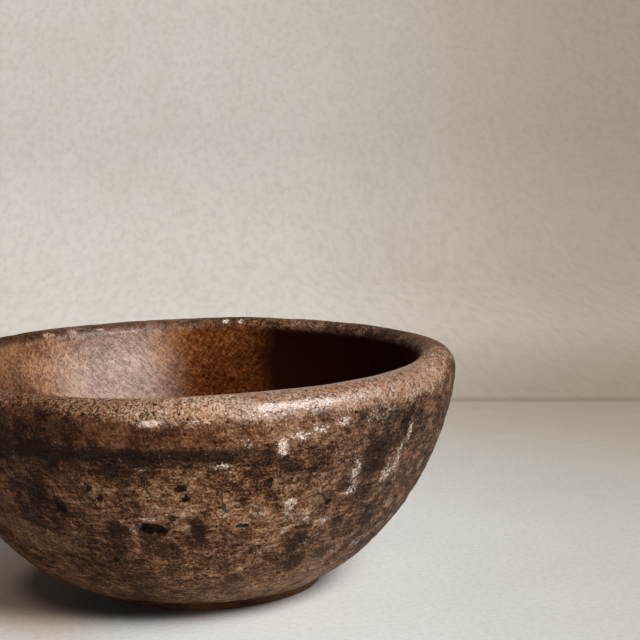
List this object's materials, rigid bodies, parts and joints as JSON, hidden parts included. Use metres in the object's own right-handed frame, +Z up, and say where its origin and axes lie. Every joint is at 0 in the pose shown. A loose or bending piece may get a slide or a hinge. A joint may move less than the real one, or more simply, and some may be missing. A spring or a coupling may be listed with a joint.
{
  "type": "wooden bowl",
  "caption": "Thick-walled round wooden bowl with a rounded lip on a low foot ring, worn and smoke-darkened.",
  "frame": {"origin": "centre of the foot's resting face", "axes": "+Z up along the turning axis, out of the mouth; +X and +Y any way round, because the bowl is round"},
  "size_m": [0.26, 0.26, 0.1145],
  "materials": {
    "bowl_wood": "old turned wood: dry, pitted and smoke-darkened outside with pale residue, worn to a waxy shine on the lip and inside",
    "foot_wood": "reddish-brown wood with turning lines, worn along the resting edge"
  },
  "bodies": {
    "root": {"bowl_body": "bowl_wood", "foot_ring": "foot_wood"}
  },
  "joints": []
}
